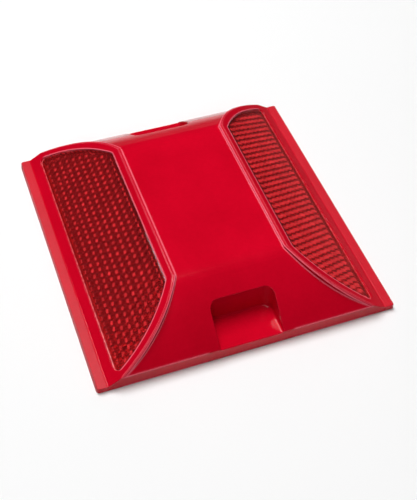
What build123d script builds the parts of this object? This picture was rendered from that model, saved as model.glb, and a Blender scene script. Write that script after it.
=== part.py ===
from build123d import *
from math import atan2, cos, hypot, sin, sqrt
import os

# Raised pavement marker with a lens on both sides, in millimetres.
# X is the direction of traffic, Y runs along the ridge, +Z is up.
# The origin is the centre of the flat bottom that is bonded to the road.

# Overall size
base_length = 101.6
base_width = 101.6
height = 20.0
corner_radius = 1.2

# Sloping lens faces and the low flange at their feet
ridge_offset = 19.4
flange_width = 3.8
flange_thickness = 2.1
flange_draft = 0.4

# End profile of the two lens frames: flat top, then a convex arc down to a short upright wall
plateau_half = 29.4
frame_end_radius = 36.5
end_wall_height = 4.8

# Bed between the lens frames, a little lower and flatter down the ends
bed_depth = 0.7
bed_end_radius = 60.0
bed_blend = 12.0
lip_width = 1.1
lip_round = 0.4

# Walls of the shell
top_wall = 2.4
slope_wall = 4.0

# Finger notches in the two ends
notch_width = 21.6
notch_reach = 12.2
notch_floor = 4.4
notch_corner = 3.0
notch_wall = 1.8
notch_round = 0.8

# Lens seats, cut into the sloping faces, with a ledge round a window
rim_top = 2.5
rim_foot = 3.5
rim_end = 2.6
seat_corner = 2.0
ledge = 1.0

# Lenses, their bond and the plates that seal the air behind the prisms
bond_gap = 0.3
bond_dip = 0.2
lens_recess = 0.4
lens_thickness = 2.0
prism_margin = 0.1
prism_height = 0.8
air_gap = 0.1

# Filling, with the shell's keying ribs in its top and the grit in its bottom
rib_offset = 9.0
rib_thickness = 1.8
rib_depth = 3.0
rib_clearance = 4.0
grit_depth = 0.8

# Derived geometry
half_length = base_length / 2
half_width = base_width / 2
foot = half_length - flange_width
slope_run = foot - ridge_offset
slope_drop = height - flange_thickness
slope_length = hypot(slope_run, slope_drop)
slope_cos = slope_run / slope_length
slope_sin = slope_drop / slope_length
seat_top = rim_top
seat_foot = slope_length - rim_foot
seat_depth = lens_recess + lens_thickness
backing_thickness = slope_wall - seat_depth - prism_height - air_gap
bed_height = height - bed_depth

# The sloping face on the +X side: local x runs down the slope, local z points out of it
lens_plane = Plane(
    origin=(ridge_offset, 0, height),
    x_dir=(slope_cos, 0, -slope_sin),
    z_dir=(slope_sin, 0, slope_cos),
)
lens_planes = (
    lens_plane,
    Plane(
        origin=(-ridge_offset, 0, height),
        x_dir=(-slope_cos, 0, -slope_sin),
        z_dir=(-slope_sin, 0, slope_cos),
    ),
)


def arc_centre(crest: float, radius: float) -> tuple[float, float]:
    """Centre (y, z) of the convex arc from the edge of the plateau to the head of the end wall."""
    run = half_width - plateau_half
    drop = crest - end_wall_height
    chord = hypot(run, drop)
    arm = sqrt(radius**2 - (chord / 2) ** 2)
    middle = ((half_width + plateau_half) / 2, (crest + end_wall_height) / 2)
    return middle[0] - drop / chord * arm, middle[1] - run / chord * arm


def end_profile(crest: float, radius: float, blend: float = 0, wall: float = 0) -> Sketch:
    """Half-width section of the ends (local x is Y, local y is Z), set in by a wall above and beside."""
    arc_y, arc_z = arc_centre(crest, radius)
    inner = radius - wall
    top = crest - wall
    side = half_width - wall
    shoulder = (arc_y + sqrt(inner**2 - (top - arc_z) ** 2), top)
    eave = (side, arc_z + sqrt(inner**2 - (side - arc_y) ** 2))
    turn = [atan2(point[1] - arc_z, point[0] - arc_y) for point in (shoulder, eave)]
    crown = (arc_y + inner * cos(sum(turn) / 2), arc_z + inner * sin(sum(turn) / 2))
    with BuildSketch() as profile:
        with BuildLine() as outline:
            Line((0, top), shoulder)
            ThreePointArc(shoulder, crown, eave)
            Polyline(eave, (side, 0), (0, 0))
            if blend:
                fillet(outline.vertices().sort_by_distance(shoulder)[0], radius=blend - wall)
            mirror(about=Plane.YZ)
        make_face()
    return profile.sketch


def rim_point(down: float, inset: float = 0) -> tuple[float, float]:
    """Point of a lens frame's end edge on the sloping face (down it, along Y), set in by a margin."""
    arc_y, arc_z = arc_centre(height, frame_end_radius)
    rise = height - down * slope_sin - arc_z
    reach = sqrt(frame_end_radius**2 - rise**2)
    return down, arc_y + reach - inset * hypot(1, rise / reach * slope_sin)


def seat_outline(inset: float = 0) -> Sketch:
    """Outline of a lens seat on the sloping face, set in all round."""
    top, foot_edge = seat_top + inset, seat_foot - inset
    edge = [rim_point(down, rim_end + inset) for down in (top, (top + foot_edge) / 2, foot_edge)]
    with BuildSketch() as outline:
        with BuildLine():
            Line((top, 0), edge[0])
            ThreePointArc(*edge)
            Line(edge[2], (foot_edge, 0))
            mirror(about=Plane.XZ)
        make_face()
        fillet(outline.vertices(), radius=max(seat_corner - inset, lip_round))
    return outline.sketch


os.makedirs("parts", exist_ok=True)

# Everything that lies between the two lens frames and above the bed
with BuildPart() as bed_cut:
    eave_down = (height - end_wall_height) / slope_sin
    with BuildSketch():
        with BuildLine():
            edge = [rim_point(down) for down in (0, eave_down / 2, eave_down)]
            plan = [(ridge_offset + down * slope_cos - lip_width, y) for down, y in edge]
            Line((plan[0][0], 0), plan[0])
            ThreePointArc(*plan)
            Polyline(plan[2], (plan[2][0], base_width), (0, base_width))
            mirror(about=Plane.YZ)
            mirror(about=Plane.XZ)
        make_face()
    extrude(amount=2 * height)
    with BuildSketch(Plane.YZ):
        add(end_profile(bed_height, bed_end_radius, bed_blend))
    extrude(amount=half_length, both=True, mode=Mode.SUBTRACT)

# Finger notches, open at the ends, with rounded floors
with BuildPart() as notches:
    with BuildSketch(Plane.XY.offset(notch_floor)):
        with Locations((0, half_width), (0, -half_width)):
            RectangleRounded(notch_width, 2 * notch_reach, notch_corner)
    extrude(amount=height)
    fillet(notches.faces().group_by(Axis.Z)[0].edges(), radius=notch_round)

# The hollow under the shell, taken up by the filling and the grit
with BuildPart() as hollow:
    inner_plane = lens_plane.offset(-slope_wall)
    roof = bed_height - top_wall
    shoulder_down = (inner_plane.origin.Z - roof) / slope_sin
    floor_down = inner_plane.origin.Z / slope_sin
    shoulder = inner_plane.from_local_coords((shoulder_down, 0, 0))
    heel = inner_plane.from_local_coords((floor_down, 0, 0))
    with BuildSketch(Plane.XZ):
        with BuildLine():
            Polyline((0, roof), (shoulder.X, roof), (heel.X, 0), (0, 0))
            mirror(about=Plane.YZ)
        make_face()
    extrude(amount=half_width, both=True)
    with BuildSketch(Plane.YZ):
        add(end_profile(bed_height, bed_end_radius, bed_blend, top_wall))
    extrude(amount=half_length, both=True, mode=Mode.INTERSECT)
    # walls of the finger notches
    with BuildSketch(Plane.XY.offset(notch_floor - notch_wall)):
        with Locations((0, half_width), (0, -half_width)):
            RectangleRounded(
                notch_width + 2 * notch_wall,
                2 * (notch_reach + notch_wall),
                notch_corner + notch_wall,
            )
    extrude(amount=height, mode=Mode.SUBTRACT)
    # keying ribs that hang from the plateau
    with BuildSketch(Plane.XY.offset(roof)):
        with Locations((rib_offset, 0), (-rib_offset, 0)):
            Rectangle(rib_thickness, 2 * (plateau_half - rib_clearance))
    extrude(amount=-rib_depth, mode=Mode.SUBTRACT)

# One-piece moulded shell: plateau, convex ends, lens frames and seats, flanges and finger notches
with BuildPart() as housing:
    with BuildSketch(Plane.XZ):
        with BuildLine():
            Polyline(
                (0, 0),
                (half_length, 0),
                (half_length - flange_draft, flange_thickness),
                (foot, flange_thickness),
                (ridge_offset, height),
                (0, height),
            )
            mirror(about=Plane.YZ)
        make_face()
    extrude(amount=half_width, both=True)
    with BuildSketch(Plane.YZ):
        add(end_profile(height, frame_end_radius))
    extrude(amount=half_length, both=True, mode=Mode.INTERSECT)
    with BuildSketch():
        RectangleRounded(base_length, base_width, corner_radius)
    extrude(amount=height, mode=Mode.INTERSECT)
    # ridge and end edges of the lens frames
    ridges = housing.edges().filter_by(
        lambda edge: edge.center().Z > flange_thickness + end_wall_height
        and edge.length > half_width / 2
        and abs(edge.center().X) > ridge_offset - lip_round
    )
    fillet(ridges, radius=lip_round)
    add(bed_cut.part, mode=Mode.SUBTRACT)
    add(notches.part, mode=Mode.SUBTRACT)
    add(hollow.part, mode=Mode.SUBTRACT)
    # lens seats, and the windows inside their ledges
    for plane in lens_planes:
        with BuildSketch(plane.offset(-seat_depth)):
            add(seat_outline())
        extrude(amount=2 * seat_depth, mode=Mode.SUBTRACT)
        with BuildSketch(plane.offset(-slope_wall)):
            add(seat_outline(ledge))
        extrude(amount=slope_wall, mode=Mode.SUBTRACT)
housing.part.label = "housing"
export_step(housing.part, "parts/housing.step")

# Clear red lens: plate with its field of prisms standing into the window behind it
with BuildPart() as lens_right:
    with BuildSketch(lens_plane.offset(-seat_depth)):
        add(seat_outline(bond_gap))
    extrude(amount=lens_thickness)
    with BuildSketch(lens_plane.offset(-seat_depth)):
        add(seat_outline(ledge + prism_margin))
    extrude(amount=-prism_height)
lens_right.part.label = "lens_right"
export_step(lens_right.part, "parts/lens_right.step")

# Bead of adhesive round the lens, in the gap between its edge and the seat
with BuildPart() as lens_bond_right:
    with BuildSketch(lens_plane.offset(-seat_depth)):
        add(seat_outline())
        add(seat_outline(bond_gap), mode=Mode.SUBTRACT)
    extrude(amount=lens_thickness - bond_dip)
lens_bond_right.part.label = "lens_bond_right"
export_step(lens_bond_right.part, "parts/lens_bond_right.step")

# Plate that closes the window behind the prisms and keeps the filling out of the air gap
with BuildPart() as backing_plate_right:
    with BuildSketch(lens_plane.offset(-slope_wall)):
        add(seat_outline(ledge))
    extrude(amount=backing_thickness)
backing_plate_right.part.label = "backing_plate_right"
export_step(backing_plate_right.part, "parts/backing_plate_right.step")

# The same three pieces on the other side
with BuildPart() as lens_left:
    add(lens_right.part)
    mirror(about=Plane.YZ, mode=Mode.REPLACE)
lens_left.part.label = "lens_left"
export_step(lens_left.part, "parts/lens_left.step")

with BuildPart() as lens_bond_left:
    add(lens_bond_right.part)
    mirror(about=Plane.YZ, mode=Mode.REPLACE)
lens_bond_left.part.label = "lens_bond_left"
export_step(lens_bond_left.part, "parts/lens_bond_left.step")

with BuildPart() as backing_plate_left:
    add(backing_plate_right.part)
    mirror(about=Plane.YZ, mode=Mode.REPLACE)
backing_plate_left.part.label = "backing_plate_left"
export_step(backing_plate_left.part, "parts/backing_plate_left.step")

# Cast filling that carries the wheel load, and the layer of grit pressed into its underside
with BuildPart() as filling:
    add(hollow.part)
    split(bisect_by=Plane.XY.offset(grit_depth), keep=Keep.TOP)
filling.part.label = "filling"
export_step(filling.part, "parts/filling.step")

with BuildPart() as base_grit:
    add(hollow.part)
    split(bisect_by=Plane.XY.offset(grit_depth), keep=Keep.BOTTOM)
base_grit.part.label = "base_grit"
export_step(base_grit.part, "parts/base_grit.step")
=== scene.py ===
"""Raised pavement marker: moulded red shell, two prism lenses, their bond, the resin filling and its grit."""

import logging
import math
import random
from collections.abc import Callable, Iterator
from contextlib import contextmanager
from dataclasses import dataclass, field
from enum import Enum

import bmesh
import bpy
from mathutils import Matrix, Vector
from mathutils.bvhtree import BVHTree


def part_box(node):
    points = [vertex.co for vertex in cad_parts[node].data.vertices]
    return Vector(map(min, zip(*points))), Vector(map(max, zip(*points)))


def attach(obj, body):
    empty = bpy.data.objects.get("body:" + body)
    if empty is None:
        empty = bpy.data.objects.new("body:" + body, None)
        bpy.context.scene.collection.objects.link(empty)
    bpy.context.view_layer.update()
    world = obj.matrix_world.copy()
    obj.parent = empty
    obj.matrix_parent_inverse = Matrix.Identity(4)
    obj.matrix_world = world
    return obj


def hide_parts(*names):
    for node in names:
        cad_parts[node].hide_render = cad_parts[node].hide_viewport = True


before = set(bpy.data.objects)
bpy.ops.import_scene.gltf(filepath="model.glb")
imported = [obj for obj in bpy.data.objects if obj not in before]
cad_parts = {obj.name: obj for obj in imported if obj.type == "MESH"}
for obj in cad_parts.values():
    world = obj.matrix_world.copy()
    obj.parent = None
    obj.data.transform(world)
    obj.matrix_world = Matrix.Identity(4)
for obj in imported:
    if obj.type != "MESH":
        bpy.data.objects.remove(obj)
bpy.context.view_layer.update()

LOG = logging.getLogger("marker")
MM = 0.001
WELD = 0.002 * MM
FLAT_ANGLE = math.radians(0.5)
FACING = 0.99
ROW_STEP = 2.61
CELL_STEP = 2.45
ACRYLIC_IOR = 1.49

Colour = tuple[float, float, float]
Socket = bpy.types.NodeSocket


class Side(Enum):
    """The two sloping faces, by the direction of X that they look along."""

    RIGHT = 1
    LEFT = -1

    @property
    def label(self) -> str:
        """Ending of the names of this side's pieces."""
        return self.name.lower()


# ---------------------------------------------------------------- mesh tools


def only(piece: bpy.types.Object) -> None:
    """Makes one object the only selected one, and the active one.

    Args:
        piece: The object that the next operators act on.
    """
    for other in list(bpy.context.selected_objects):
        other.select_set(False)
    piece.select_set(True)
    bpy.context.view_layer.objects.active = piece


@contextmanager
def editing(piece: bpy.types.Object, mode: str = "FACE") -> Iterator[None]:
    """Holds an object in edit mode with nothing selected.

    Args:
        piece: The object to edit.
        mode: VERT, EDGE or FACE.
    """
    only(piece)
    bpy.ops.object.mode_set(mode="EDIT")
    bpy.ops.mesh.select_mode(type=mode)
    bpy.ops.mesh.select_all(action="DESELECT")
    try:
        yield
    finally:
        bpy.ops.object.mode_set(mode="OBJECT")


def pick(piece: bpy.types.Object, test: Callable[[Vector, Vector], bool]) -> None:
    """Selects, in edit mode, the faces that pass a test.

    Args:
        piece: The object in edit mode.
        test: Takes a face's centre and normal.
    """
    mesh = bmesh.from_edit_mesh(piece.data)
    for face in mesh.faces:
        if test(face.calc_center_median(), face.normal):
            face.select_set(True)
    bmesh.update_edit_mesh(piece.data)


def pick_points(piece: bpy.types.Object, test: Callable[[Vector], bool]) -> None:
    """Selects, in edit mode, the vertices that pass a test.

    Args:
        piece: The object in edit mode.
        test: Takes a vertex's place.
    """
    mesh = bmesh.from_edit_mesh(piece.data)
    for point in mesh.verts:
        if test(point.co):
            point.select_set(True)
    mesh.select_flush_mode()
    bmesh.update_edit_mesh(piece.data)


def copy_of(source: bpy.types.Object, name: str) -> bpy.types.Object:
    """Copies an object with a mesh of its own, bare of materials.

    Args:
        source: The object to copy.
        name: Name of the copy.

    Returns:
        The copy, free of any parent, its doubles merged and flat faces joined up.
    """
    piece = bpy.data.objects.new(name, source.data.copy())
    piece.data.name = name
    piece.data.materials.clear()
    bpy.context.scene.collection.objects.link(piece)
    with editing(piece):
        bpy.ops.mesh.select_all(action="SELECT")
        bpy.ops.mesh.customdata_custom_splitnormals_clear()
        bpy.ops.mesh.remove_doubles(threshold=WELD)
        bpy.ops.mesh.dissolve_limited(angle_limit=FLAT_ANGLE)
    return piece


def cut(piece: bpy.types.Object, tool: bpy.types.Object, operation: str) -> None:
    """Applies a Boolean to a piece and removes the tool.

    Args:
        piece: The piece that is changed.
        tool: The other solid.
        operation: DIFFERENCE, INTERSECT or UNION.
    """
    only(piece)
    modifier = piece.modifiers.new("cut", "BOOLEAN")
    modifier.operation = operation
    modifier.solver = "EXACT"
    modifier.object = tool
    bpy.ops.object.modifier_apply(modifier=modifier.name)
    bpy.data.objects.remove(tool)


# ------------------------------------------------------------ material tools


class Nodes:
    """A material's node tree under construction."""

    def __init__(self, name: str) -> None:
        """Starts a material that holds only its output."""
        self.material = bpy.data.materials.new(name)
        self.material.use_nodes = True
        self.tree = self.material.node_tree
        self.tree.nodes.clear()
        self.output = self.tree.nodes.new("ShaderNodeOutputMaterial")

    def add(self, kind: str, inputs: dict | None = None, **props: object) -> bpy.types.Node:
        """Adds a node.

        Args:
            kind: Type name without its ShaderNode prefix.
            inputs: Socket name or number to a value or to another socket.
            **props: Settings of the node.

        Returns:
            The node.
        """
        node = self.tree.nodes.new("ShaderNode" + kind)
        for key, value in props.items():
            setattr(node, key, value)
        for key, value in (inputs or {}).items():
            if isinstance(value, Socket):
                self.tree.links.new(value, node.inputs[key])
            else:
                node.inputs[key].default_value = value
        return node

    def place(self) -> Socket:
        """Object coordinates, in metres."""
        return self.add("TexCoord").outputs["Object"]

    def noise(self, vector: Socket, size: float, detail: float = 3.0, rough: float = 0.5) -> Socket:
        """Noise whose features are about one size.

        Args:
            vector: Coordinates in metres.
            size: Size of a feature, in millimetres.
            detail: Octaves of finer noise.
            rough: Strength of the finer octaves.

        Returns:
            The noise, from 0 to 1.
        """
        inputs = {"Vector": vector, "Scale": 1 / (size * MM), "Detail": detail, "Roughness": rough}
        return self.add("TexNoise", inputs).outputs["Fac"]

    def math(self, operation: str, *values: Socket | float) -> Socket:
        """Result of one Math node."""
        return self.add("Math", dict(enumerate(values)), operation=operation).outputs[0]

    def span(
        self, value: Socket, low: float, high: float, to_low: float = 0.0, to_high: float = 1.0
    ) -> Socket:
        """Maps a range of a value to another, clamped.

        Args:
            value: The value.
            low: Where the range starts.
            high: Where it ends.
            to_low: Result at low.
            to_high: Result at high.

        Returns:
            The mapped value.
        """
        inputs = {"Value": value, "From Min": low, "From Max": high, "To Min": to_low, "To Max": to_high}
        return self.add("MapRange", inputs, clamp=True).outputs[0]

    def mix(self, share: Socket, first: Socket | Colour, second: Socket | Colour) -> Socket:
        """Blends two colours.

        Args:
            share: How much of the second.
            first: A colour or a socket.
            second: A colour or a socket.

        Returns:
            The blend.
        """
        node = self.add("Mix", data_type="RGBA")
        for socket, value in ((node.inputs[6], first), (node.inputs[7], second)):
            if isinstance(value, Socket):
                self.tree.links.new(value, socket)
            else:
                socket.default_value = (*value, 1.0)
        self.tree.links.new(share, node.inputs[0])
        return node.outputs[2]

    def bump(self, height: Socket, depth: float, base: Socket | None = None) -> Socket:
        """Normals of a relief.

        Args:
            height: The relief, from 0 to 1.
            depth: What 1 stands for, in millimetres.
            base: Normals that the relief lies on.

        Returns:
            The normals.
        """
        inputs = {"Height": height, "Distance": depth * MM}
        if base is not None:
            inputs["Normal"] = base
        return self.add("Bump", inputs).outputs[0]

    def finish(self, shader: bpy.types.Node) -> bpy.types.Material:
        """Joins the shader to the output.

        Args:
            shader: The node that the surface shows.

        Returns:
            The finished material.
        """
        self.tree.links.new(shader.outputs[0], self.output.inputs["Surface"])
        return self.material


@dataclass(frozen=True)
class ShellPlastic:
    """Glossy moulded plastic with a painted highlight on the edges of its lens frames, and a stippled grain
    on the flat flanges.
    """

    colour: Colour = (0.66, 0.001, 0.018)
    deep: Colour = (0.56, 0.001, 0.014)
    gloss: float = 0.10
    gloss_fall: float = 0.025
    gloss_rise: float = 0.03
    grain_gloss: float = 0.38
    scuff_gloss: float = 0.08
    scuff_size: float = 5.5
    sheen: float = 0.27
    flange_edge: float = 47.2
    flange_top: float = 2.6
    flange_fade: float = 0.3
    # Painted highlight: the pale pink that the rounded edges of the lens frames are mixed toward.
    edge: Colour = (1.0, 0.16, 0.23)
    painted_highlight_width: float = 0.8
    painted_highlight_inner: float = 14.0
    painted_highlight_outer: float = 43.0
    painted_highlight_fade: float = 1.0
    painted_highlight_turn: tuple[float, float] = (0.998, 0.972)
    edge_round: float = 0.32
    speck_size: float = 1.1
    speck_share: float = 0.25
    flow_size: float = 22.0
    peel_size: float = 3.2
    peel_depth: float = 0.010
    grain_size: float = 0.42
    grain_depth: float = 0.11

    def flange_mask(self, nodes: Nodes, place: Socket) -> Socket:
        """Where the two flat flanges lie.

        Args:
            nodes: The tree under construction.
            place: Object coordinates.

        Returns:
            1 on the flanges, 0 elsewhere.
        """
        axes = nodes.add("SeparateXYZ", {"Vector": place})
        away = nodes.math("ABSOLUTE", axes.outputs[0])
        beyond = nodes.span(away, self.flange_edge * MM, (self.flange_edge + self.flange_fade) * MM)
        low = nodes.span(axes.outputs[2], (self.flange_top + self.flange_fade) * MM, self.flange_top * MM)
        return nodes.math("MULTIPLY", beyond, low)

    def pigment(self, nodes: Nodes, place: Socket, flow: Socket) -> Socket:
        """Colour of the plastic, with the flow of its pigment and a painted highlight on the edges of the
        lens frames.

        Args:
            nodes: The tree under construction.
            place: Object coordinates.
            flow: Slow noise that the gloss follows too.

        Returns:
            The colour.
        """
        speck = nodes.noise(place, self.speck_size, 3, 0.6)
        drift = nodes.math("MULTIPLY", flow, 1 - self.speck_share)
        shade = nodes.math("MULTIPLY_ADD", speck, self.speck_share, drift)
        colour = nodes.mix(nodes.span(shade, 0.35, 0.65), self.deep, self.colour)
        # Painted highlight: where the Bevel normal turns away from the face's own normal, 14 to 43 mm out
        # from the middle, the colour goes pale pink.
        wide = nodes.add("Bevel", {"Radius": self.painted_highlight_width * MM}, samples=8).outputs[0]
        facing = nodes.add("NewGeometry").outputs["Normal"]
        along = nodes.add("VectorMath", {0: wide, 1: facing}, operation="DOT_PRODUCT").outputs["Value"]
        edge = nodes.span(along, *self.painted_highlight_turn)
        away = nodes.math("ABSOLUTE", nodes.add("SeparateXYZ", {"Vector": place}).outputs[0])
        inner, outer, fade = self.painted_highlight_inner * MM, self.painted_highlight_outer * MM, self.painted_highlight_fade * MM
        edge = nodes.math("MULTIPLY", edge, nodes.span(away, inner, inner + fade))
        edge = nodes.math("MULTIPLY", edge, nodes.span(away, outer, outer - fade))
        return nodes.mix(edge, colour, self.edge)

    def material(self) -> bpy.types.Material:
        """Builds the material."""
        nodes = Nodes("shell_plastic")
        place = nodes.place()
        flow = nodes.noise(place, self.flow_size, 4, 0.55)
        soft = nodes.add("Bevel", {"Radius": self.edge_round * MM}, samples=6).outputs[0]
        peel = nodes.bump(nodes.noise(place, self.peel_size, 2, 0.4), self.peel_depth, soft)
        flange = self.flange_mask(nodes, place)
        grain = nodes.math("MULTIPLY", nodes.noise(place, self.grain_size, 3, 0.6), flange)
        scuffs = nodes.span(nodes.noise(place, self.scuff_size, 8, 0.72), 0.6, 0.75)
        polish = nodes.span(flow, 0.3, 0.7, self.gloss - self.gloss_fall, self.gloss + self.gloss_rise)
        polish = nodes.math("MULTIPLY_ADD", scuffs, self.scuff_gloss, polish)
        shader = nodes.add(
            "BsdfPrincipled",
            {
                "Base Color": self.pigment(nodes, place, flow),
                "Roughness": nodes.math("MULTIPLY_ADD", flange, self.grain_gloss - self.gloss, polish),
                "Normal": nodes.bump(grain, self.grain_depth, peel),
                "IOR": ACRYLIC_IOR,
                "Specular IOR Level": self.sheen,
            },
        )
        return nodes.finish(shader)


@dataclass(frozen=True)
class MirrorCoat:
    """Bright metal film on the prisms, seen through the lens."""

    colour: Colour = (0.95, 0.93, 0.92)
    dull: Colour = (0.76, 0.70, 0.69)
    metallic: float = 0.94
    patch_size: float = 4.5
    ripple_size: float = 0.8
    ripple: float = 0.004

    def material(self) -> bpy.types.Material:
        """Builds the material."""
        nodes = Nodes("mirror_coat")
        place = nodes.place()
        patch = nodes.noise(place, self.patch_size, 5, 0.65)
        shader = nodes.add(
            "BsdfPrincipled",
            {
                "Base Color": nodes.mix(nodes.span(patch, 0.35, 0.65), self.dull, self.colour),
                "Roughness": nodes.span(patch, 0.3, 0.7, 0.10, 0.05),
                "Metallic": self.metallic,
                "Normal": nodes.bump(nodes.noise(place, self.ripple_size, 2, 0.5), self.ripple),
            },
        )
        return nodes.finish(shader)


@dataclass(frozen=True)
class LensAcrylic:
    """Clear red acrylic with a light haze, the faint sink marks that its prisms leave on the front, and
    painted shade: a dark tint on its edges and ledge that darkens the lens's border.
    """

    colour: Colour = (0.80, 0.040, 0.050)
    haze: Colour = (0.68, 0.036, 0.044)
    haze_deep: Colour = (0.56, 0.024, 0.030)
    clear_share: float = 0.84
    # Painted shade: dark tints for the lens's edges and ledge, which darken its border.
    painted_border_shade: Colour = (0.20, 0.006, 0.010)
    painted_border_shade_deep: Colour = (0.18, 0.0054, 0.009)
    streak_size: float = 9.0
    row_step: float = ROW_STEP
    cell_step: float = CELL_STEP
    ripple_size: float = 1.3
    sink: float = 0.006

    def lattice(self, nodes: Nodes, slope: "Slope", place: Socket) -> Socket:
        """Wave that repeats with the prisms.

        Args:
            nodes: The tree under construction.
            slope: The face that the lens lies in, which turns the pattern.
            place: Object coordinates.

        Returns:
            The wave, from -1 to 1.
        """
        turn = slope.matrix.inverted()
        inputs = {"Vector": place, "Rotation": turn.to_euler(), "Location": turn.to_translation()}
        down = nodes.add("SeparateXYZ", {"Vector": nodes.add("Mapping", inputs).outputs[0]})
        row = nodes.math("MULTIPLY", down.outputs[0], math.pi / (self.row_step * MM))
        cell = nodes.math("MULTIPLY", down.outputs[1], math.tau / (self.cell_step * MM))
        return nodes.math("MULTIPLY", nodes.math("COSINE", row), nodes.math("COSINE", cell))

    def material(self, slope: "Slope", front: bool) -> bpy.types.Material:
        """Builds the material of one part of the lens, which lets shadow rays through to the prisms.

        Args:
            slope: The face that the lens lies in.
            front: True for the smooth front, False for the prisms and edges, whose dark tint is painted
                shade.

        Returns:
            The material.
        """
        part = "front" if front else "prisms"
        nodes = Nodes(f"lens_acrylic_{part}_{slope.side.label}")
        place = nodes.place()
        streak = nodes.noise(place, self.streak_size, 4, 0.6)
        inputs = {
            "Roughness": nodes.span(streak, 0.3, 0.7, 0.015, 0.05),
            "IOR": ACRYLIC_IOR,
            "Specular IOR Level": 0.25,
        }
        if front:
            wave = self.lattice(nodes, slope, place)
            height = nodes.math("MULTIPLY_ADD", nodes.noise(place, self.ripple_size, 2, 0.5), 0.5, wave)
            inputs["Normal"] = nodes.bump(height, self.sink)
            inputs["Base Color"] = nodes.mix(nodes.span(wave, -0.5, 0.5), self.haze_deep, self.haze)
            inputs["Transmission Weight"] = self.clear_share
        else:
            # Painted shade: the edges and ledge let light through with a dark tint, so the lens's border
            # looks shaded.
            inputs["Base Color"] = nodes.mix(nodes.span(streak, 0.3, 0.7), self.painted_border_shade, self.painted_border_shade_deep)
            inputs["Transmission Weight"] = 1.0
        solid = nodes.add("BsdfPrincipled", inputs)
        through = nodes.add("BsdfTransparent", {"Color": (*self.colour, 1.0)})
        shader = nodes.add("MixShader", {0: nodes.add("LightPath").outputs["Is Shadow Ray"]})
        nodes.tree.links.new(solid.outputs[0], shader.inputs[1])
        nodes.tree.links.new(through.outputs[0], shader.inputs[2])
        return nodes.finish(shader)


@dataclass(frozen=True)
class PlainFinish:
    """Opaque finish whose colour, gloss and relief all vary: bond, backing, resin or grit."""

    name: str
    colour: Colour
    deep: Colour
    size: float
    gloss: tuple[float, float]
    depth: float
    fine: float

    def material(self) -> bpy.types.Material:
        """Builds the material."""
        nodes = Nodes(self.name)
        place = nodes.place()
        patch = nodes.noise(place, self.size, 4, 0.6)
        fine = nodes.noise(place, self.fine, 3, 0.6)
        shade = nodes.math("ADD", nodes.math("MULTIPLY", patch, 0.5), nodes.math("MULTIPLY", fine, 0.5))
        colour = nodes.mix(nodes.span(shade, 0.35, 0.65), self.deep, self.colour)
        shader = nodes.add(
            "BsdfPrincipled",
            {
                "Base Color": colour,
                "Roughness": nodes.span(patch, 0.3, 0.7, *self.gloss),
                "Normal": nodes.bump(fine, self.depth),
                "IOR": 1.5,
            },
        )
        return nodes.finish(shader)


BOND = PlainFinish("bond_adhesive", (0.90, 0.17, 0.20), (0.62, 0.02, 0.035), 2.0, (0.18, 0.38), 0.03, 0.5)
BACKING = PlainFinish(
    "backing_plastic", (0.22, 0.002, 0.006), (0.12, 0.001, 0.003), 9.0, (0.35, 0.55), 0.03, 0.8
)
RESIN = PlainFinish("filling_resin", (0.34, 0.31, 0.27), (0.19, 0.17, 0.15), 7.0, (0.55, 0.8), 0.08, 0.6)
GRIT = PlainFinish("grit", (0.56, 0.51, 0.43), (0.25, 0.21, 0.17), 1.4, (0.6, 0.9), 0.05, 0.2)


# ------------------------------------------------------------- the assembly


@dataclass(frozen=True)
class Slope:
    """One sloping face: local X runs down it, local Z points out of it."""

    side: Side
    ridge: float = 19.4
    crest: float = 20.0
    foot: float = 47.0
    foot_height: float = 2.1

    @property
    def matrix(self) -> Matrix:
        """Turns the face's own coordinates into the marker's, in metres."""
        run, drop = self.foot - self.ridge, self.crest - self.foot_height
        length = math.hypot(run, drop)
        cos, sin, way = run / length, drop / length, self.side.value
        return Matrix(
            (
                (way * cos, 0, way * sin, way * self.ridge * MM),
                (0, way, 0, 0),
                (-sin, 0, cos, self.crest * MM),
                (0, 0, 0, 1),
            )
        )


@dataclass
class Shell:
    """The one-piece moulded shell, which keeps its CAD mesh."""

    finish: ShellPlastic = field(default_factory=ShellPlastic)

    def build(self) -> list[bpy.types.Object]:
        """Gives the shell its plastic."""
        return [dress_node("housing", self.finish.material())]


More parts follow.
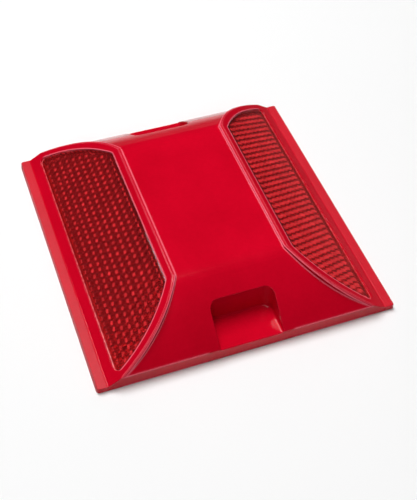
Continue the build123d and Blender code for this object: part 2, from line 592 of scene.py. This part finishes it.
@dataclass
class PrismLens:
    """A clear red lens with corner prisms moulded into its back."""

    side: Side
    finish: LensAcrylic = field(default_factory=LensAcrylic)
    coat: MirrorCoat = field(default_factory=MirrorCoat)
    row_step: float = ROW_STEP
    cell_step: float = CELL_STEP
    first_row: float = 4.7
    rows: int = 10
    cells: int = 40
    front_depth: float = 0.4
    ledge_depth: float = 2.4
    tip_depth: float = 3.19
    facet_rise: float = 1.08
    facet_lean: float = 0.296
    block_height: float = 4.0
    block_top: float = -0.9
    plate_middle: float = -3.5
    pocket_rise: float = 2.3
    clearance: float = 0.02
    edge_round: float = 0.18
    facet_slant: tuple[float, float] = (-0.8, -0.3)
    near: float = 0.01

    def cell(self) -> bpy.types.Object:
        """One prism: three facets square to each other, leaning a little down the slope.

        Returns:
            The prism's facets, with the tip at the bottom on the Z axis.
        """
        reach = self.row_step * MM * 2 / 3
        bpy.ops.mesh.primitive_circle_add(vertices=6, radius=reach, fill_type="TRIFAN")
        piece = bpy.context.active_object
        tests = (
            lambda point: point.length < reach / 4,
            lambda point: point.x > reach * 0.9 or -0.6 < point.x / reach < -0.4,
            lambda point: point.x < -reach * 0.9 or 0.4 < point.x / reach < 0.6,
        )
        with editing(piece, "VERT"):
            bpy.ops.mesh.select_all(action="SELECT")
            bpy.ops.transform.rotate(value=math.pi / 2, orient_axis="Z", center_override=(0, 0, 0))
            width = self.cell_step * MM / (reach * math.sqrt(3))
            bpy.ops.transform.resize(value=(1, width, 1), center_override=(0, 0, 0))
            for level, test in reversed(list(enumerate(tests))):
                bpy.ops.mesh.select_all(action="DESELECT")
                pick_points(piece, lambda point, test=test: point.z == 0 and test(point))
                move = (level * self.facet_lean * MM, 0, (level * self.facet_rise - self.tip_depth) * MM)
                bpy.ops.transform.translate(value=move)
        return piece

    def relief(self) -> bpy.types.Object:
        """The solid of the lens over its whole field of prisms, before it is cut to the window.

        Returns:
            A closed block whose underside is the field, in the face's own coordinates.
        """
        piece = self.cell()
        only(piece)
        bpy.ops.object.duplicate()
        second = bpy.context.active_object
        second.location = (self.row_step * MM, self.cell_step / 2 * MM, 0)
        piece.select_set(True)
        bpy.context.view_layer.objects.active = piece
        bpy.ops.object.join()
        down, across = (2 * self.row_step, 0, 0), (0, self.cell_step, 0)
        for step, count in ((down, self.rows // 2 + 1), (across, self.cells)):
            array = piece.modifiers.new("repeat", "ARRAY")
            array.use_relative_offset, array.use_constant_offset = False, True
            array.constant_offset_displace = [value * MM for value in step]
            array.count = count
            bpy.ops.object.modifier_apply(modifier=array.name)
        with editing(piece):
            bpy.ops.mesh.select_all(action="SELECT")
            bpy.ops.mesh.remove_doubles(threshold=self.near * MM)
            start = (self.first_row * MM, -(self.cells - 0.5) / 2 * self.cell_step * MM, 0)
            bpy.ops.transform.translate(value=start)
            bpy.ops.mesh.extrude_region_move(TRANSFORM_OT_translate={"value": (0, 0, self.block_height * MM)})
            bpy.ops.transform.resize(value=(1, 1, 0), center_override=(0, 0, self.block_top * MM))
            bpy.ops.mesh.select_all(action="SELECT")
            bpy.ops.mesh.normals_make_consistent(inside=False)
        return piece

    def dress(self, lens: bpy.types.Object, slope: Slope) -> None:
        """Gives the lens its smooth front, its mirrored facets and its edges, whose dark tint is painted
        shade.

        Args:
            lens: The cut lens, in the face's own coordinates.
            slope: The face that it lies in.
        """
        steep, flat = self.facet_slant
        finishes = (
            (self.finish.material(slope, front=False), None),
            (self.finish.material(slope, front=True), lambda normal: normal.z > FACING),
            (self.coat.material(), lambda normal: steep < normal.z < flat),
        )
        for index, (material, test) in enumerate(finishes):
            lens.data.materials.append(material)
            if test:
                with editing(lens):
                    pick(lens, lambda centre, normal, test=test: test(normal))
                    lens.active_material_index = index
                    bpy.ops.object.material_slot_assign()

    def build(self) -> list[bpy.types.Object]:
        """Cuts the prisms into the back of the lens plate and dresses it.

        Returns:
            The lens.
        """
        slope = Slope(self.side)
        label = self.side.label
        inward = slope.matrix.inverted()
        lens = copy_of(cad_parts[f"lens_{label}"], f"prism_lens_{label}")
        pocket = copy_of(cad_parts[f"backing_plate_{label}"], "pocket")
        for piece in (lens, pocket):
            piece.data.transform(inward)
        with editing(pocket, "VERT"):
            pick_points(pocket, lambda point: point.z > self.plate_middle * MM)
            bpy.ops.transform.translate(value=(0, 0, self.pocket_rise * MM))
        cut(pocket, self.relief(), "DIFFERENCE")
        cut(lens, pocket, "DIFFERENCE")
        ledge, near, front = -self.ledge_depth * MM, self.near * MM, -(self.front_depth + 0.1) * MM
        with editing(lens):
            pick(lens, lambda centre, normal: normal.z < -FACING and abs(centre.z - ledge) < near)
            bpy.ops.transform.translate(value=(0, 0, self.clearance * MM))
        with editing(lens):
            pick(lens, lambda centre, normal: normal.z > FACING and centre.z > front)
            bpy.ops.mesh.region_to_loop()
            bpy.ops.mesh.bevel(offset=self.edge_round * MM, segments=2, affect="EDGES")
        self.dress(lens, slope)
        lens.data.transform(slope.matrix)
        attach(lens, "root")
        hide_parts(f"lens_{label}")
        return [lens]


@dataclass
class BondBead:
    """The lumpy bead of adhesive that shows round the edge of a lens."""

    side: Side
    finish: PlainFinish = BOND
    pitch: float = 0.6
    top: float = 0.65
    lump: float = 0.12
    layers: int = 2
    halvings: int = 8
    seed: int = 3

    def divide(self, bead: bpy.types.Object) -> None:
        """Halves the long edges until none is much longer than the pitch.

        Args:
            bead: The bead, in edit mode.
        """
        for _ in range(self.halvings):
            mesh = bmesh.from_edit_mesh(bead.data)
            long = [edge for edge in mesh.edges if edge.calc_length() > 2 * self.pitch * MM]
            if not long:
                break
            bpy.ops.mesh.select_all(action="DESELECT")
            for edge in long:
                edge.select_set(True)
            bmesh.update_edit_mesh(bead.data)
            bpy.ops.mesh.subdivide(number_cuts=1)

    def build(self) -> list[bpy.types.Object]:
        """Divides the bead finely, makes its top lumpy and dresses it.

        Returns:
            The bead.
        """
        label = self.side.label
        slope = Slope(self.side)
        bead = copy_of(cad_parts[f"lens_bond_{label}"], f"bond_bead_{label}")
        bead.data.transform(slope.matrix.inverted())
        with editing(bead, "EDGE"):
            self.divide(bead)
        draw = random.Random(self.seed)
        with editing(bead, "VERT"):
            for _ in range(self.layers):
                bpy.ops.mesh.select_all(action="DESELECT")
                pick_points(bead, lambda point: point.z > -self.top * MM and draw.random() < 0.5)
                bpy.ops.transform.translate(value=(0, 0, self.lump * MM))
        bead.data.transform(slope.matrix)
        bead.data.materials.append(self.finish.material())
        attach(bead, "root")
        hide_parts(f"lens_bond_{label}")
        return [bead]


def dress_node(name: str, material: bpy.types.Material) -> bpy.types.Object:
    """Gives a CAD node its material and leaves its mesh alone.

    Args:
        name: The node.
        material: Its finish.

    Returns:
        The node's object.
    """
    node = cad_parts[name]
    node.data.materials.clear()
    node.data.materials.append(material)
    return node


@dataclass
class Inside:
    """The plates behind the prisms and the filling, which keep their CAD meshes."""

    backing: PlainFinish = BACKING
    resin: PlainFinish = RESIN

    def build(self) -> list[bpy.types.Object]:
        """Dresses the hidden pieces.

        Returns:
            Their objects.
        """
        plastic = self.backing.material()
        pieces = [dress_node(f"backing_plate_{side.label}", plastic) for side in Side]
        return [*pieces, dress_node("filling", self.resin.material())]


@dataclass
class GritBase:
    """Grains of grit, half sunk in the underside of the filling."""

    finish: PlainFinish = GRIT
    bed_rise: float = 0.42
    spacing: float = 1.75
    smallest: float = 0.32
    largest: float = 0.52
    sunk: float = 1.25
    roughness: float = 0.22
    seed: int = 7

    def grain(self) -> bpy.types.Object:
        """One rough grain of unit size, at the origin."""
        bpy.ops.mesh.primitive_ico_sphere_add(subdivisions=1, radius=1.0)
        piece = bpy.context.active_object
        with editing(piece, "VERT"):
            bpy.ops.mesh.select_all(action="SELECT")
            bpy.ops.transform.vertex_random(offset=self.roughness, uniform=0.6, seed=self.seed)
        return piece

    def spread(self, bed: bpy.types.Object, low: Vector, high: Vector) -> list[bpy.types.Object]:
        """Lays grains over the bed, each near its own place in a grid.

        Args:
            bed: The bed, which every grain has to lie wholly under.
            low: Lowest corner of the grit.
            high: Highest corner of the grit.

        Returns:
            The grains.
        """
        points = [point.co for point in bed.data.vertices]
        shape = BVHTree.FromPolygons(points, [face.vertices for face in bed.data.polygons])
        draw = random.Random(self.seed)
        first = self.grain()
        step = self.spacing * MM
        up = Vector((0, 0, 1))
        grains = []
        for row in range(int((high.y - low.y) / step) + 1):
            for column in range(int((high.x - low.x) / step) + 1):
                x = low.x + (column + draw.uniform(0.1, 0.9)) * step
                y = low.y + (row + draw.uniform(0.1, 0.9)) * step
                size = draw.uniform(self.smallest, self.largest) * MM
                turn = [draw.uniform(0, math.tau) for _ in range(3)]
                reach = 2 * size
                corners = [(x + way * reach, y + other * reach) for way in (-1, 1) for other in (-1, 1)]
                if not all(shape.ray_cast(Vector((*corner, -1)), up)[0] for corner in corners):
                    continue
                piece = bpy.data.objects.new("grain", first.data.copy())
                place = Matrix.Translation((x, y, low.z + size * self.sunk))
                turned = Matrix.Rotation(turn[0], 4, "X") @ Matrix.Rotation(turn[1], 4, "Z")
                piece.data.transform(place @ turned @ Matrix.Scale(size, 4))
                bpy.context.scene.collection.objects.link(piece)
                grains.append(piece)
        bpy.data.objects.remove(first)
        return grains

    def build(self) -> list[bpy.types.Object]:
        """Sets the bed back and covers it with grains.

        Returns:
            The grit.
        """
        bed = copy_of(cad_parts["base_grit"], "grit_layer")
        low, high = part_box("base_grit")
        with editing(bed, "VERT"):
            pick_points(bed, lambda point: point.z < low.z + 0.1 * MM)
            bpy.ops.transform.translate(value=(0, 0, self.bed_rise * MM))
        grains = self.spread(bed, low, high)
        only(bed)
        for piece in grains:
            piece.select_set(True)
        bpy.ops.object.join()
        bed.data.materials.append(self.finish.material())
        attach(bed, "root")
        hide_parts("base_grit")
        return [bed]


# ------------------------------------------------------------------ studio


@dataclass(frozen=True)
class Softbox:
    """A rectangular studio light that faces the marker."""

    name: str
    towards: tuple[float, float, float]
    distance: float
    size: tuple[float, float]
    radiance: float

    def build(self) -> None:
        """Hangs the light."""
        lamp = bpy.data.lights.new(self.name, "AREA")
        lamp.shape = "RECTANGLE"
        lamp.size, lamp.size_y = self.size
        lamp.energy = self.radiance * math.pi * self.size[0] * self.size[1]
        light = bpy.data.objects.new(self.name, lamp)
        bpy.context.scene.collection.objects.link(light)
        back = Vector(self.towards).normalized()
        light.location = back * self.distance
        light.rotation_euler = back.to_track_quat("Z", "Y").to_euler()


@dataclass
class Studio:
    """Pale floor, even surroundings, softboxes and the camera."""

    azimuth: float = -21.88
    elevation: float = 48.59
    roll: float = 2.73
    distance: float = 0.33366
    aim: tuple[float, float, float] = (0, 0, 0.009)
    lens: float = 70.2
    sensor: float = 36
    clip: float = 0.01
    shift: tuple[float, float] = (0.021, -0.067)
    floor_size: float = 8
    floor_gap: float = 0.05
    mottle: float = 400
    near_floor: tuple[Colour, Colour] = ((0.93, 0.93, 0.93), (0.96, 0.96, 0.96))
    surround: tuple[float, float] = (0.7, 0.012)
    fade: tuple[float, float] = (-0.03, 0.0)
    backdrop: float = 0.85
    falloff: tuple[float, float] = (0.06, 0.11)
    far_floor: Colour = (0.09, 0.09, 0.09)

    def floor(self) -> None:
        """Lays the floor, white to the camera and darker to the reflections away from the marker."""
        bpy.ops.mesh.primitive_plane_add(size=self.floor_size, location=(0, 0, -self.floor_gap * MM))
        floor = bpy.context.active_object
        floor.name = "studio_floor"
        nodes = Nodes("studio_floor")
        tone = nodes.noise(nodes.place(), self.mottle, 2)
        colour = nodes.mix(nodes.span(tone, 0.3, 0.7), *self.near_floor)
        away = nodes.add("VectorMath", {0: nodes.place()}, operation="LENGTH").outputs["Value"]
        unseen = nodes.math("SUBTRACT", 1.0, nodes.add("LightPath").outputs["Is Camera Ray"])
        dark = nodes.math("MULTIPLY", nodes.span(away, *self.falloff), unseen)
        colour = nodes.mix(dark, colour, self.far_floor)
        inputs = {"Base Color": colour, "Roughness": 0.9, "Specular IOR Level": 0.1}
        shader = nodes.add("BsdfPrincipled", inputs)
        floor.data.materials.append(nodes.finish(shader))

    def surroundings(self) -> None:
        """Sets the light from all round, brighter below and to the camera, and the view transform."""
        world = bpy.data.worlds.new("studio")
        world.use_nodes = True
        tree = world.node_tree
        background = tree.nodes["Background"]
        background.inputs["Color"].default_value = (1.0, 1.0, 1.0, 1.0)
        place = tree.nodes.new("ShaderNodeTexCoord")
        axes = tree.nodes.new("ShaderNodeSeparateXYZ")
        fade = tree.nodes.new("ShaderNodeMapRange")
        fade.inputs["From Min"].default_value, fade.inputs["From Max"].default_value = self.fade
        fade.inputs["To Min"].default_value, fade.inputs["To Max"].default_value = self.surround
        tree.links.new(place.outputs["Generated"], axes.inputs[0])
        tree.links.new(axes.outputs[2], fade.inputs["Value"])
        path = tree.nodes.new("ShaderNodeLightPath")
        seen = tree.nodes.new("ShaderNodeMath")
        seen.operation = "MULTIPLY_ADD"
        seen.inputs[1].default_value = self.backdrop
        tree.links.new(path.outputs["Is Camera Ray"], seen.inputs[0])
        tree.links.new(fade.outputs[0], seen.inputs[2])
        tree.links.new(seen.outputs[0], background.inputs["Strength"])
        bpy.context.scene.world = world
        bpy.context.scene.view_settings.view_transform = "Standard"

    def camera(self) -> None:
        """Sets up the camera."""
        turn, rise, roll = (math.radians(value) for value in (self.azimuth, self.elevation, self.roll))
        back = Vector((math.sin(turn) * math.cos(rise), -math.cos(turn) * math.cos(rise), math.sin(rise)))
        right = Vector((math.cos(turn), math.sin(turn), 0))
        top = back.cross(right)
        across = math.cos(roll) * right + math.sin(roll) * top
        upward = -math.sin(roll) * right + math.cos(roll) * top
        data = bpy.data.cameras.new("camera")
        data.lens, data.sensor_width = self.lens, self.sensor
        data.shift_x, data.shift_y = self.shift
        data.clip_start = self.clip
        camera = bpy.data.objects.new("camera", data)
        bpy.context.scene.collection.objects.link(camera)
        matrix = Matrix((across, upward, back)).transposed().to_4x4()
        matrix.translation = Vector(self.aim) + self.distance * back
        camera.matrix_world = matrix
        bpy.context.scene.camera = camera

    def build(self) -> None:
        """Sets up the whole studio."""
        self.floor()
        self.surroundings()
        self.camera()
        lights = (
            Softbox("key", (-0.10, 0.30, 0.95), 1.0, (0.35, 0.70), 12.7),
            Softbox("ridge", (0.57, 0.68, 0.46), 1.0, (0.28, 0.42), 1.5),
            Softbox("front", (-0.25, -0.61, 0.75), 1.2, (0.8, 0.8), 1.7),
        )
        for light in lights:
            light.build()


def main() -> None:
    """Builds the studio and the marker, and reports each piece."""
    logging.basicConfig(level=logging.INFO, format="%(name)s: %(message)s")
    Studio().build()
    lenses = [PrismLens(side) for side in Side]
    beads = [BondBead(side) for side in Side]
    makers = [Shell(), *lenses, *beads, Inside(), GritBase()]
    for maker in makers:
        for piece in maker.build():
            LOG.info("%s: %s, %d faces", type(maker).__name__, piece.name, len(piece.data.polygons))


if __name__ == "__main__":
    main()
